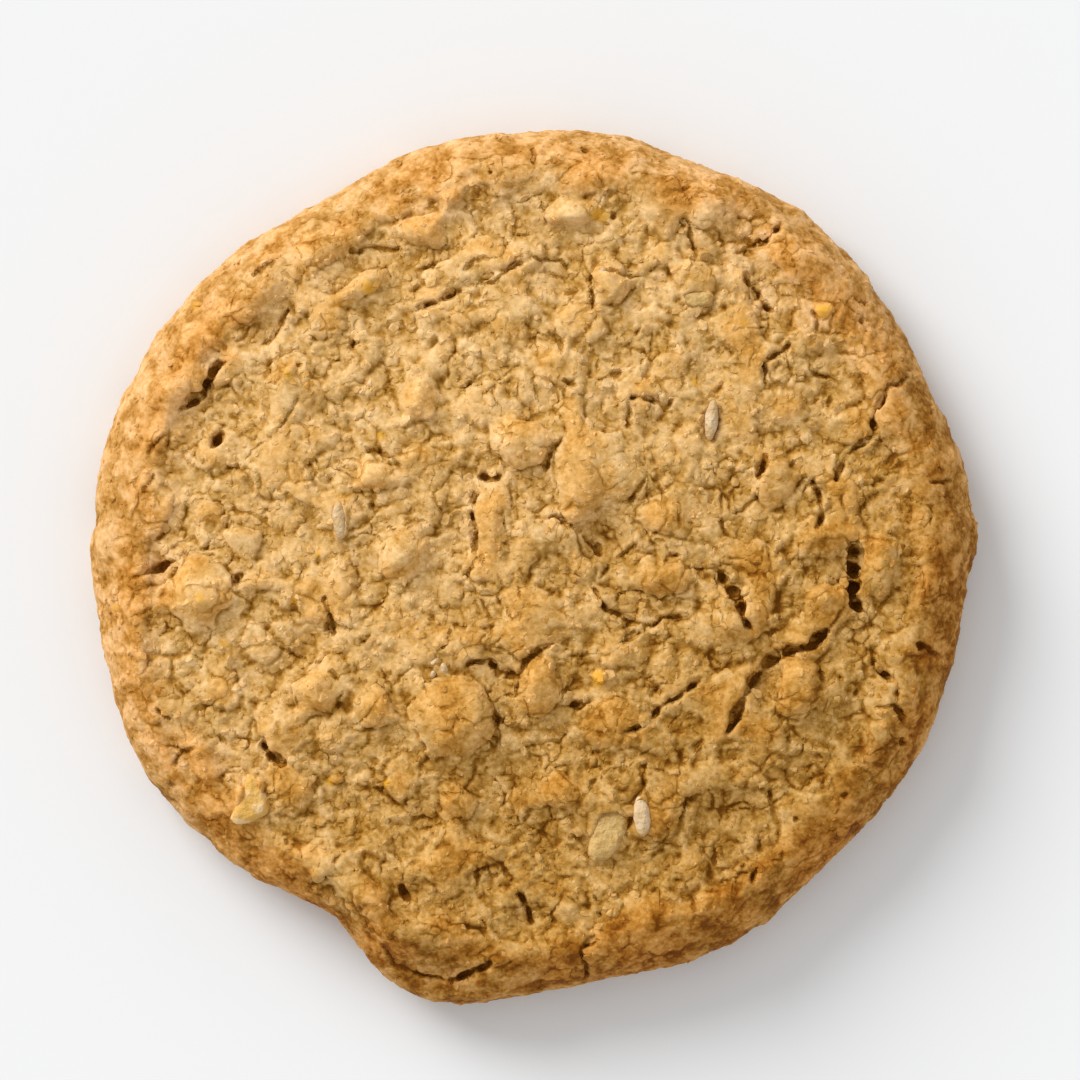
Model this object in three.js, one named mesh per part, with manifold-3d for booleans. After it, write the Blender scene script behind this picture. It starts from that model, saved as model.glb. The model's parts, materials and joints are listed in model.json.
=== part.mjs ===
// A round nut shortbread biscuit: one solid, its flat base on z = 0 and +Z up.
// Seen from above, +X is to the right and +Y is up the picture. All sizes are in millimetres.
import * as THREE from "three";
import { ImprovedNoise } from "three/addons/math/ImprovedNoise.js";
import { mergeVertices } from "three/addons/utils/BufferGeometryUtils.js";
import Module from "manifold-3d";

// Profile from the middle of the top out to the edge and in again to the base
const TOP_HEIGHT = 7.2; // where the side has rounded over into the top
const EDGE_HEIGHT = 3.2; // where the side stands out furthest
const SHOULDER = 4.6; // width of the rounded shoulder, inwards from the outline
const FOOT = 1.7; // how far the side draws in again between the edge and the base
const CROWN = 2.3; // rise of the middle of the top above the shoulder
const RIM_RISE = 0.6; // a low ring round the top, on the shoulder
const RIM_INSET = 3.2;
const RIM_WIDTH = 1.8;

// Outline at the edge: [angle in degrees, radius]
const OUTLINE = [
  [0, 32.8], [4, 33.5], [8, 33.0], [12, 33.2], [20, 32.65], [30, 32.6], [44, 33.1], [58, 33.2],
  [67, 32.6], [77, 33.0], [92, 32.65], [97, 32.85], [108, 32.4], [121, 31.65], [129, 32.3], [140, 32.9],
  [164, 33.4], [180, 33.2], [188, 32.95], [209, 33.05], [218, 32.1], [224, 31.85], [232, 30.9], [240, 30.3],
  [246, 31.7], [252, 33.1], [257, 33.55], [264, 32.9], [271, 31.9], [286, 31.6], [300, 32.1], [312, 31.4],
  [328, 31.95], [342, 32.3], [352, 32.2],
];

// Lumps where nut pieces lift the dough: [x, y, length, width, turn in degrees, rise]
const LUMPS = [
  [-21.0, 19.6, 5.4, 3.4, 50, 0.94], [-26.4, 13.5, 4.3, 2.9, 10, 0.68],
  [-6.1, 27.7, 2.6, 2.9, 0, 0.94], [-8.1, 25.1, 3.4, 3.4, 0, 1.08],
  [-12.7, 21.0, 5.0, 2.5, 33, 0.94], [2.9, 26.2, 5.0, 2.4, 5, 0.94],
  [5.9, 20.9, 2.5, 3.3, 0, 0.68], [19.7, 23.2, 4.0, 3.8, 0, 0.68],
  [-8.4, 12.5, 3.0, 2.9, 0, 0.54], [-8.6, 8.4, 2.7, 2.5, 0, 0.54],
  [-11.6, 6.8, 3.9, 2.7, -10, 0.81], [-9.9, 0.8, 3.9, 3.3, 0, 0.81],
  [-1.0, 9.1, 5.0, 4.5, 0, 0.68], [4.2, 6.8, 7.0, 8.4, 0, 0.94],
  [9.9, 3.8, 3.8, 3.4, 0, 0.68], [-3.2, 2.9, 2.7, 3.8, 0, 0.54],
  [-27.9, 3.9, 3.3, 1.9, 60, 0.68], [-24.3, 3.9, 2.9, 2.1, 0, 0.54],
  [-21.6, 2.0, 3.1, 2.9, 0, 0.68], [-25.1, -1.9, 7.2, 5.1, 25, 1.08],
  [-16.6, -9.2, 3.6, 3.1, 0, 0.81], [9.4, -1.0, 4.8, 3.4, 0, 0.81],
  [21.5, -2.2, 3.0, 2.7, 0, 0.68], [19.5, -9.2, 5.0, 3.6, 80, 1.08],
  [-6.3, -11.1, 7.3, 6.9, 0, 1.22], [-11.9, -10.5, 4.5, 3.1, 80, 0.54],
  [0.4, -9.4, 5.1, 3.4, 80, 0.94], [-5.4, -17.4, 3.4, 2.4, 0, 0.54],
  [1.8, -16.7, 4.0, 3.4, 0, 0.68], [-7.7, -27.6, 7.2, 5.2, 0, 0.81],
  [-12.5, -24.5, 4.6, 3.9, 0, 0.68], [13.8, -25.2, 4.0, 3.1, 0, 0.54],
  [25.9, 0.1, 5.5, 2.9, 90, 0.68],
];
const LUMP_POWER = 2.5; // higher makes a lump's top flatter and its flank steeper

// Hollows in the top: [x, y, length, width, turn in degrees, depth]
const HOLLOWS = [
  [-7.8, -30.6, 11.0, 8.0, 0, 1.5], [-22.1, -22.0, 10.0, 6.0, -45, 1.1], [15.4, 25.3, 6.0, 5.0, -35, 1.2],
  [-16.8, -6.2, 6.0, 3.5, 45, 0.9], [17.3, -8.5, 5.0, 2.5, 50, 0.7], [-24.3, 15.2, 5.0, 2.5, 50, 0.6],
  [-28.8, 10.6, 5.0, 2.0, 60, 0.6], [-28.1, 0.5, 3.0, 2.0, 90, 0.6], [-28.5, -6.2, 7.0, 2.0, 95, 0.6],
  [-26.4, -14.5, 7.0, 3.0, 120, 0.8], [-4.8, 28.3, 4.0, 2.5, 60, 0.8], [-10.1, 27.9, 4.0, 2.0, 35, 0.6],
  [-6.0, 23.8, 3.0, 2.0, 60, 0.6], [4.9, 2.0, 4.0, 3.0, 0, 0.5], [15.0, -2.5, 3.0, 2.0, 100, 0.5],
  [-20.6, -13.9, 3.0, 3.0, 0, 0.5],
];

// Cracks and pits: width, depth and the points the crack runs through
const CRACKS = [
  { width: 1.1, depth: 1.9, run: [[-23.4, 15.4], [-24.2, 14.0], [-24.5, 13.0], [-26.3, 11.8]] },
  { width: 1, depth: 1.5, run: [[-23.4, 10.0], [-24.0, 8.8]] },
  { width: 0.7, depth: 1.1, run: [[-18.3, 19.3], [-18.9, 18.1], [-19.7, 16.9]] },
  { width: 0.7, depth: 1.1, run: [[-19.4, 22.7], [-20.2, 22.2], [-21.2, 21.8]] },
  { width: 0.8, depth: 1.4, run: [[-9.1, 19.1], [-6.9, 19.9], [-5.7, 20.6]] },
  { width: 1, depth: 0.8, run: [[-5.7, 20.6], [-4.2, 21.4], [-2.6, 21.9], [0.4, 23.2]] },
  { width: 0.7, depth: 1.2, run: [[4.1, 21.9], [4.2, 20.6], [4.4, 19.1]] },
  { width: 0.6, depth: 1.1, run: [[5.4, 22.1], [6.4, 21.9], [8.1, 21.7]] },
  { width: 0.7, depth: 1, run: [[11.1, 26.1], [11.3, 24.8], [12.2, 23.2]] },
  { width: 0.9, depth: 1.4, run: [[18.5, 25.6], [17.8, 24.8], [16.3, 23.8], [15.5, 23.0]] },
  { width: 1, depth: 1.2, run: [[15.6, 22.4], [16.2, 20.9], [16.9, 19.7], [17.7, 18.9]] },
  { width: 0.8, depth: 1.2, run: [[19.2, 16.9], [18.6, 16.1], [17.2, 15.4], [17.1, 13.6]] },
  {
    width: 0.8,
    depth: 1.4,
    run: [[27.9, 14.2], [26.5, 13.5], [25.2, 11.2], [25.4, 9.8], [23.3, 8.5], [22.5, 6.4]],
  },
  { width: 0.7, depth: 1.4, run: [[-4.1, 6.7], [-3.3, 6.6], [-2.5, 7.0]] },
  { width: 0.7, depth: 1.4, run: [[-4.3, 6.0], [-4.7, 4.5], [-4.5, 2.8], [-4.3, 1.3]] },
  { width: 0.7, depth: 1.2, run: [[6.9, 12.4], [7.9, 12.7], [9.8, 12.1], [10.4, 12.5]] },
  { width: 0.7, depth: 1.1, run: [[7.1, 12.4], [7.2, 10.3]] },
  { width: 0.7, depth: 1, run: [[1.4, 9.1], [1.0, 7.7], [0.5, 6.8]] },
  { width: 0.7, depth: 1.1, run: [[1.3, 3.9], [2.8, 3.1], [4.0, 2.2], [5.0, 0.8]] },
  { width: 1.1, depth: 1.5, run: [[17.1, 7.9], [16.5, 6.7]] },
  { width: 0.7, depth: 1.2, run: [[20.2, 6.6], [21.0, 6.0], [21.5, 4.4], [21.3, 2.9]] },
  { width: 1.3, depth: 1.9, run: [[23.9, 1.6], [24.0, 0.4], [23.6, -0.8], [23.7, -2.2], [24.3, -3.4]] },
  { width: 0.8, depth: 1.1, run: [[-23.4, 1.7], [-25.3, 1.1], [-26.9, 0.4], [-29.0, -0.5]] },
  { width: 1.1, depth: 1.6, run: [[-20.1, -12.8], [-20.1, -13.8], [-18.6, -14.5]] },
  {
    width: 0.7,
    depth: 1.4,
    run: [[-5.0, -7.3], [-3.4, -7.0], [-2.6, -7.7], [-1.2, -8.0], [-0.6, -6.8], [0.9, -5.8]],
  },
  { width: 1, depth: 1.1, run: [[-2.7, -10.6], [-2.7, -12.2], [-3.1, -13.9]] },
  { width: 0.7, depth: 1.2, run: [[4.8, -2.6], [5.8, -3.4], [8.1, -4.3], [6.4, -5.7]] },
  { width: 0.7, depth: 1.2, run: [[8.7, -4.6], [9.4, -3.8], [11.7, -3.5]] },
  {
    width: 1.1,
    depth: 1.5,
    run: [[13.8, -0.3], [14.4, -1.4], [15.3, -2.3], [15.4, -3.8], [16.2, -4.8]],
  },
  {
    width: 1.5,
    depth: 1.6,
    run: [[21.9, -4.6], [20.3, -6.1], [18.3, -6.4], [16.9, -7.7], [15.8, -9.4], [14.3, -12.6]],
  },
  {
    width: 0.8,
    depth: 1.4,
    run: [[12.3, -8.3], [11.2, -9.4], [9.5, -10.3], [8.7, -11.5], [6.5, -12.4]],
  },
  { width: 0.8, depth: 1.4, run: [[25.5, -7.6], [27.1, -8.8], [27.0, -10.1], [27.6, -11.4]] },
  { width: 0.7, depth: 1.1, run: [[28.5, -5.7], [29.7, -6.3]] },
  { width: 0.8, depth: 1.2, run: [[-9.9, -23.7], [-9.3, -24.7]] },
  { width: 0.8, depth: 1.4, run: [[-1.0, -24.3], [-0.5, -25.3], [-0.2, -26.6]] },
  { width: 0.6, depth: 1.1, run: [[-11.5, -28.9], [-9.8, -30.1], [-6.2, -31.0]] },
  { width: 1, depth: 1.9, run: [[-6.2, -31.1], [-4.5, -30.3], [-3.5, -29.7]] },
  { width: 0.7, depth: 1.2, run: [[4.6, -27.4], [3.2, -28.8], [4.0, -29.9], [3.9, -30.9]] },
  { width: 0.7, depth: 1.1, run: [[15.5, -22.4], [16.2, -22.8], [16.4, -23.6]] },
  { width: 1.1, depth: 1.2, run: [[2.4, -10.3], [3.7, -10.0]] },
  { width: 1.1, depth: 1.4, run: [[-22.2, -0.4], [-22.1, -1.6]] },
  { width: 1.1, depth: 1.5, run: [[-15.2, -3.8], [-15.1, -5.5]] },
];
const CRACK_OVERLAP = 1.7; // each gash is this much longer than its stretch of the run
const CRACK_LIFT = 0.35; // the widest part of a gash stands this far above the surface

// Nut bits, flakes and grains that lie on the top: [x, y, length, width, turn in degrees, height shown]
const BITS = [
  [-21.1, -17.3, 4.3, 3.4, 60, 1.0], [5.4, -19.9, 4.2, 2.4, 60, 0.6], [12.2, 20.0, 2.4, 1.2, 10, 0.4],
  [-14.3, 3.4, 2.7, 1.1, 85, 0.5], [13.2, 10.9, 2.2, 0.8, 75, 0.4], [8.0, -18.4, 2.8, 1.0, 95, 0.5],
  [-16.1, -22.9, 1.3, 1.2, 0, 0.6], [21.5, 19.1, 1.8, 1.3, 0, 0.4], [4.8, -8.2, 1.6, 1.3, 0, 0.4],
  [-18.2, 14.2, 1.5, 1.0, 60, 0.4], [-14.7, -15.9, 1.6, 1.1, 0, 0.4],
];

// Roughness of the baked dough: [size of the waves, height]
const TOP_WAVES = [[8.0, 0.6], [3.0, 0.6]];
const SIDE_WAVES = [[4.0, 0.25]];
const WAVE_LEVEL = 4.7; // the height in the noise at which the top's waves are read

// How finely the skin is cut, and the shares of its triangles
const SKIN_DETAIL = 19;
const TOP_SHARE = 0.52;
const SHOULDER_SHARE = 0.3;
const FOOT_SHARE = 0.08;
const MERGE = 1e-4;

const wasm = await Module();
wasm.setup();
const noise = new ImprovedNoise();
const { degToRad, euclideanModulo, smoothstep } = THREE.MathUtils;

// The outline as a smooth closed curve, and its radius in any direction
const outlineCurve = new THREE.CatmullRomCurve3(
  OUTLINE.map(([angle, radius]) => new THREE.Vector3(angle, radius, 0)),
  false,
  "centripetal",
);
const OUTLINE_STEPS = 720;
const outlineTable = outlineCurve.getPoints(OUTLINE_STEPS);

function outlineRadius(x, y) {
  const angle = euclideanModulo(Math.atan2(y, x), 2 * Math.PI) * THREE.MathUtils.RAD2DEG;
  const after = outlineTable.findIndex((point) => point.x >= angle);
  if (after === 0) return outlineTable[0].y;
  const last = outlineTable[outlineTable.length - 1];
  const a = after < 0 ? last : outlineTable[after - 1];
  const b = after < 0 ? new THREE.Vector3(360, outlineTable[0].y, 0) : outlineTable[after];
  return THREE.MathUtils.lerp(a.y, b.y, (angle - a.x) / (b.x - a.x));
}

function waves(list, x, y, z) {
  return list.reduce((sum, [size, height]) => sum + height * noise.noise(x / size, y / size, z / size), 0);
}

// How far a place lies from the middle of an oval, where 1 is the oval's edge
function awayFrom([cx, cy, length, width, turn], x, y) {
  const along = new THREE.Vector2(x - cx, y - cy).rotateAround(new THREE.Vector2(), -degToRad(turn));
  return Math.min(Math.hypot(along.x / (length / 2), along.y / (width / 2)), 1);
}

function lumpHeight(x, y) {
  return Math.max(...LUMPS.map((lump) => lump[5] * (1 - awayFrom(lump, x, y) ** LUMP_POWER)));
}

function hollowDepth(x, y) {
  return Math.max(...HOLLOWS.map((hollow) => hollow[5] * (1 - awayFrom(hollow, x, y) ** 2) ** 2));
}

// What stands above the plain profile at a place on the top
function relief(x, y) {
  const inset = outlineRadius(x, y) - Math.hypot(x, y);
  const fromRim = (inset - RIM_INSET) / RIM_WIDTH;
  const rim = RIM_RISE * Math.exp(-fromRim * fromRim);
  const outward = Math.min(Math.hypot(x, y) / (outlineRadius(x, y) - SHOULDER), 1);
  const crown = CROWN * (1 - outward * outward);
  return rim + crown + lumpHeight(x, y) - hollowDepth(x, y) + waves(TOP_WAVES, x, y, WAVE_LEVEL);
}

// The shoulder's and the foot's profiles, as distance from the outline and height
const shoulderCurve = new THREE.EllipseCurve(
  -SHOULDER, EDGE_HEIGHT, SHOULDER, TOP_HEIGHT - EDGE_HEIGHT, Math.PI / 2, 0, true,
);
const footCurve = new THREE.EllipseCurve(-FOOT, EDGE_HEIGHT, FOOT, EDGE_HEIGHT, 0, -Math.PI / 2, true);

// Relief counts in full on the top and fades out towards the edge
function fade(height) {
  return smoothstep(height, EDGE_HEIGHT, TOP_HEIGHT);
}

function surfaceHeight(x, y) {
  const inset = outlineRadius(x, y) - Math.hypot(x, y);
  const across = THREE.MathUtils.clamp(1 - inset / SHOULDER, 0, 1);
  const height = EDGE_HEIGHT + (TOP_HEIGHT - EDGE_HEIGHT) * Math.sqrt(1 - across * across);
  return height + relief(x, y) * fade(height);
}

// The skin point for a direction on an even ball. The ball's upper part becomes the top, then come
// the shoulder and the foot, and what is left becomes the flat base.
function skinPoint(direction) {
  const share = (1 - direction.z) / 2;
  const radius = outlineRadius(direction.x, direction.y);
  const flat = new THREE.Vector2(direction.x, direction.y);
  if (flat.lengthSq() > 0) flat.normalize();

  if (share < TOP_SHARE) {
    flat.multiplyScalar((radius - SHOULDER) * Math.sqrt(share / TOP_SHARE));
    return new THREE.Vector3(flat.x, flat.y, TOP_HEIGHT + relief(flat.x, flat.y));
  }

  const pastTop = share - TOP_SHARE;
  if (pastTop < SHOULDER_SHARE + FOOT_SHARE) {
    const onShoulder = pastTop < SHOULDER_SHARE;
    const spot = onShoulder
      ? shoulderCurve.getPointAt(pastTop / SHOULDER_SHARE)
      : footCurve.getPointAt((pastTop - SHOULDER_SHARE) / FOOT_SHARE);
    flat.multiplyScalar(radius + spot.x);
    const rise = onShoulder ? relief(flat.x, flat.y) * fade(spot.y) : 0;
    const out = waves(SIDE_WAVES, flat.x, flat.y, spot.y) * (1 - fade(spot.y));
    flat.setLength(flat.length() + out);
    return new THREE.Vector3(flat.x, flat.y, spot.y + rise);
  }

  const baseShare = 1 - TOP_SHARE - SHOULDER_SHARE - FOOT_SHARE;
  flat.multiplyScalar((radius - FOOT) * Math.sqrt((1 - share) / baseShare));
  return new THREE.Vector3(flat.x, flat.y, 0);
}

function toSolid(geometry) {
  return new wasm.Manifold(
    new wasm.Mesh({
      numProp: 3,
      vertProperties: new Float32Array(geometry.attributes.position.array),
      triVerts: new Uint32Array(geometry.index.array),
    }),
  );
}

function bare(geometry) {
  geometry.deleteAttribute("normal");
  geometry.deleteAttribute("uv");
  return mergeVertices(geometry, MERGE);
}

function makeSkin() {
  const skin = bare(new THREE.IcosahedronGeometry(1, SKIN_DETAIL));
  const place = skin.attributes.position;
  for (let i = 0; i < place.count; i++) {
    const point = skinPoint(new THREE.Vector3().fromBufferAttribute(place, i).normalize());
    place.setXYZ(i, point.x, point.y, point.z);
  }
  return toSolid(skin);
}

// One gash is a stretched diamond, so it narrows to both ends and to the bottom
function makeGash([x0, y0], [x1, y1], width, depth) {
  const gash = bare(new THREE.OctahedronGeometry(1));
  const length = Math.hypot(x1 - x0, y1 - y0) * CRACK_OVERLAP;
  gash.scale(length / 2, width / 2, depth + CRACK_LIFT);
  gash.rotateZ(Math.atan2(y1 - y0, x1 - x0));
  const x = (x0 + x1) / 2;
  const y = (y0 + y1) / 2;
  gash.translate(x, y, surfaceHeight(x, y) + CRACK_LIFT);
  return toSolid(gash);
}

function makeBit([x, y, length, width, turn, shown]) {
  const bit = bare(new THREE.OctahedronGeometry(1, 1));
  bit.scale(length / 2, width / 2, width / 2);
  bit.rotateZ(degToRad(turn));
  bit.translate(x, y, surfaceHeight(x, y) + shown - width / 2);
  return toSolid(bit);
}

function toGeometry(solid) {
  const mesh = solid.getMesh();
  const geometry = new THREE.BufferGeometry();
  geometry.setAttribute("position", new THREE.BufferAttribute(new Float32Array(mesh.vertProperties), 3));
  geometry.setIndex(new THREE.BufferAttribute(new Uint32Array(mesh.triVerts), 1));
  geometry.computeBoundingBox();
  const middle = geometry.boundingBox.getCenter(new THREE.Vector3());
  geometry.translate(-middle.x, -middle.y, 0);
  geometry.computeVertexNormals();
  return geometry;
}

let biscuit = makeSkin();
for (const { width, depth, run } of CRACKS) {
  for (let i = 1; i < run.length; i++) {
    biscuit = biscuit.subtract(makeGash(run[i - 1], run[i], width, depth));
  }
}
for (const bit of BITS) biscuit = biscuit.add(makeBit(bit));

const dough = new THREE.MeshStandardMaterial({ color: 0xc79a5b, roughness: 0.75 });
const shortbread = new THREE.Mesh(toGeometry(biscuit), dough);
shortbread.name = "shortbread";

const part = new THREE.Group();
part.add(shortbread);
export default part;
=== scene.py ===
"""A nut shortbread biscuit: a crumbly baked top, a browned rim and a flat base, dressed over its solid."""
import json
from math import cos, radians, sin

import bpy
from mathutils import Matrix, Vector

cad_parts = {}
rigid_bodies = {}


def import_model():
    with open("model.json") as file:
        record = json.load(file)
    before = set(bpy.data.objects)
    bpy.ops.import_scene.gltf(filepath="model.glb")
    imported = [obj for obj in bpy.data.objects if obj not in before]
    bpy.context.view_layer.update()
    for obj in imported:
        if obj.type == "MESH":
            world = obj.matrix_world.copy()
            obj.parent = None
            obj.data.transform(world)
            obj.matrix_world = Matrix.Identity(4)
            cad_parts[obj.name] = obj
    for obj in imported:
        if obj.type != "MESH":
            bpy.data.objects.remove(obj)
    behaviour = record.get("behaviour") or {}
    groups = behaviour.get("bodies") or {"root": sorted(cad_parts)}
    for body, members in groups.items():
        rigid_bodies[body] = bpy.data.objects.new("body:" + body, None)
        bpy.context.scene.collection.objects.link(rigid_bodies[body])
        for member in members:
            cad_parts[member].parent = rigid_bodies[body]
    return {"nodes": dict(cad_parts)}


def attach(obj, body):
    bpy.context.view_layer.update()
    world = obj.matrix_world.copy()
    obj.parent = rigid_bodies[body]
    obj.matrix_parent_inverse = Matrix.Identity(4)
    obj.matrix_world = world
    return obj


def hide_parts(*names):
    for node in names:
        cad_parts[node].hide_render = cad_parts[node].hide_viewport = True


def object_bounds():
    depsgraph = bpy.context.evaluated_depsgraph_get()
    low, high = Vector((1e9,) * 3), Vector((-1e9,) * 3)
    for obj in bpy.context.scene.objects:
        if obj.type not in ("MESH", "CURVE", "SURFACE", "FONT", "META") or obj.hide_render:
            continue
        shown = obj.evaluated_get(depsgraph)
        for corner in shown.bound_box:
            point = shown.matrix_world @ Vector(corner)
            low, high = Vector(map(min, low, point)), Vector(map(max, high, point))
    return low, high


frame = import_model()
cad_low, cad_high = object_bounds()

# Lengths below are in millimetres unless a comment says otherwise. Meshes are shaped in millimetres
# and brought back to metres when they are finished.
MM = 0.001

# The biscuit's radius, from the solid's width
RADIUS = round(0.5 * (cad_high[0] - cad_low[0]) / MM, 1)

# The photograph's frame: its side in pixels, its scale, the pixel over the biscuit's middle, and how high
# the biscuit's outline lies
PHOTO_SIDE = 1080
PHOTO_MM = 0.075
PHOTO_MIDDLE = (534.5, 567.0)
OUTLINE_HEIGHT = 3.3

# The camera: its height, its sensor, and the nearest that it sees, in metres
CAMERA_HEIGHT = 600.0
SENSOR = 36.0
NEAREST_SEEN = 0.01

# How finely the dough is cut: the side of a voxel, rounds of smoothing before and after its cracks are filled,
# how strong a round is, how near two points are one, and how many triangles stay
VOXEL = 0.145
SMOOTH_ROUNDS = 3
SETTLE_ROUNDS = 8
SMOOTH_SHARE = 0.5
SAME_POINT = 0.001
DOUGH_TRIANGLES = 197000

# Over how many rounds the surface is averaged to find what stands out of it: the solid's plates, the bottoms
# of its cracks, the crumb's crevices and its dips
PLATE_ROUNDS = 360
BOTTOM_ROUNDS = 150
CREVICE_ROUNDS = 20
DIP_ROUNDS = 110
# The same for the surface's direction, where cracks are filled and where the crumb is raised
FILL_WAY_ROUNDS = 60
CRUMB_WAY_ROUNDS = 40

# The solid's cracks are filled up to this depth, from the first height above the base, and fully from the next
CRACK_FLOOR = 0.08
FILL_START, FILL_END = 2.0, 4.0

# Noise lies round this middle, and mostly between the next two values
NOISE_MIDDLE = 0.5
NOISE_LOW, NOISE_HIGH = 0.3, 0.7

# How lines and surfaces wander. Each kind: the size of its waves, their reach, and the detail of their noise
BROAD_WANDER = (3.0, 0.9, 1.0)
RAGGED_WANDER = (0.8, 0.4, 3.0)
CRACK_BEND = (1.6, 0.3, 1.0)
CRACK_FRAY = (0.5, 0.2, 2.0)
GRAIN_FRAY = (0.6, 0.2, 2.0)
STAIN_FRAY = (0.7, 0.35, 2.0)
CRUMB_UNEVEN = (0.32, 0.22, 2.0)
BIT_UNEVEN = (0.7, 0.1, 1.0)
WANDER_ROUGHNESS = 0.6

# Broken crust: flakes and chips with ragged edges, one on the other. Their size and the height of a step, the
# levels of noise at which one ends on the next, a step's width in the noise, and how fine the noise is
FLAKES = (3.0, 0.08)
FLAKE_LEVELS = (0.40, 0.46, 0.52, 0.58)
CHIPS = (1.3, 0.042)
CHIP_LEVELS = (0.42, 0.50, 0.58)
STEP_WIDTH = 0.03
STEP_DETAIL, STEP_ROUGHNESS = 4.0, 0.6

# Nets of ragged cracks, coarse and fine: the size of the crumbs between them, their half width, their
# depth, and the size of the stretches where they are open
SEAMS = (2.2, 0.2, 0.19, 2.6)
FINE_SEAMS = (1.25, 0.16, 0.11, 1.7)
# The levels of noise between which a stretch opens, and how dark the fine net is beside the coarse one
SEAM_OPENS = (0.42, 0.58)
FINE_SEAM_SHARE = 0.7

# Rounded billows of crumb with creases between them: size and height. Then the detail of their noise, the power
# that rounds their tops, and the share that is used
BROAD_BILLOWS = (3.0, 0.35)
BILLOWS = (1.5, 0.23)
BILLOW_DETAIL = 1.0
BILLOW_POWER, BILLOW_SHARE = 0.6, 0.5

# Fused grains: two sizes, how much lower the coarse ones stand, how steeply a grain falls off, and its height
FINE_GRAIN, COARSE_GRAIN = 0.56, 0.95
COARSE_DROP = 0.25
GRAIN_FALL = 1.5
GRAIN_HEIGHT = 0.068

# What is taken off so that the crumb lies on the solid: the mean share of billows and of grains, and a
# little more
MEAN_BILLOW, MEAN_GRAIN = 0.14, 0.7
SETTLE = 0.03

# The solid's plates and lumps: how high they stand where their crust is whole, how much more they are raised,
# and the distances from the middle between which that fades
PLATE_WHOLE = 0.16
PLATE_RAISE = 0.72
PLATES_FADE, PLATES_END = RADIUS - 6.8, RADIUS - 3.3
# The groove round them: the height at which it runs, its width and depth, the size of the stretches where it is
# open, and the levels of noise between which one opens
MOAT_AT, MOAT_WIDTH, MOAT_DEPTH = -0.02, 0.07, 0.24
MOAT_STRETCH = 1.4
MOAT_OPENS = (0.42, 0.54)

# The rim: where it starts and ends, from the middle, the size and height of its waves, and the share of whole
# crust, of fine cracks and of broken crust that it keeps
RIM_START, RIM_END = RADIUS - 3.3, RADIUS - 0.5
RIM_WAVES = (2.4, 0.7)
RIM_WHOLE, RIM_SEAMS, RIM_BROKEN = 0.2, 0.3, 0.5

# Where the crust is whole it keeps this share of flakes and cracks, of crumbs, and of the finest grain. Billows
# and grains keep at least the last share anywhere
WHOLE_BROKEN, WHOLE_CRUMBS, WHOLE_GRAIN = 0.5, 0.6, 0.7
LEAST_ROUGH = 0.5

# How far upward the surface looks, from none to full: where cracks are cut, where the crumb is raised, and
# where crumbs lie
CRACKS_UP = (0.3, 0.6)
CRUMB_UP = (-0.6, 0.1)
SCATTER_UP = (0.25, 0.75)

# For each kind of crack: its width and depth
GAP_CUT = (0.34, 0.38)
CRACK_CUT = (0.24, 0.28)
HAIR_CUT = (0.18, 0.22)
PIT_CUT = (0.36, 0.3)
# The narrowest and widest half of a crack, as shares of its width, the levels of noise between which it widens,
# and the size of that noise
CRACK_HALVES = (0.35, 0.85)
CRACK_WIDENS = (0.36, 0.62)
CRACK_STRETCH = 1.0
# A crack tapers by the first share of its width, over the second share of its first and last stretch
TAPER, TAPER_STRETCH = 0.6, 0.35
# Where a crack's side starts outside it and ends inside it, and what is noted far from any crack
CRACK_SIDE = (-0.08, 0.15)
FAR_FROM_CRACKS = -0.5
# The raised shoulder beside the widest kinds of crack: how many kinds have it, its width, how near the crack it
# comes, and its height
SHOULDER_KINDS = 2
SHOULDER_WIDTH, SHOULDER_EDGE, SHOULDER_RISE = 0.9, 0.1, 0.06

# Cracks that the photograph shows, each as the pixels it runs through, from gaping to hair-thin
GAPS = (
    ((229, 360), (217, 372), (209, 386), (203, 401)), ((226, 433), (217, 447)),
    ((763, 456), (763, 467), (756, 478)), ((852, 545), (849, 564), (855, 579), (851, 603), (863, 612)),
    ((737, 591), (740, 612), (748, 628)), ((827, 628), (812, 643), (794, 651)),
    ((266, 743), (270, 755), (282, 761), (288, 761)), ((402, 883), (411, 896)),
    ((447, 980), (467, 974), (480, 965), (493, 958)), ((520, 893), (528, 907), (531, 919)),
    ((566, 701), (580, 704), (589, 698)), ((754, 867), (752, 879)), ((894, 703), (896, 708), (903, 720)),
    ((469, 663), (478, 660), (489, 660), (497, 671), (517, 675)), ((479, 476), (489, 479), (501, 476)),
    ((478, 488), (473, 510)), ((916, 643), (932, 651)), ((610, 378), (622, 371)), ((160, 709), (175, 718)),
    ((591, 583), (598, 598), (607, 609), (625, 614)),
)
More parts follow.
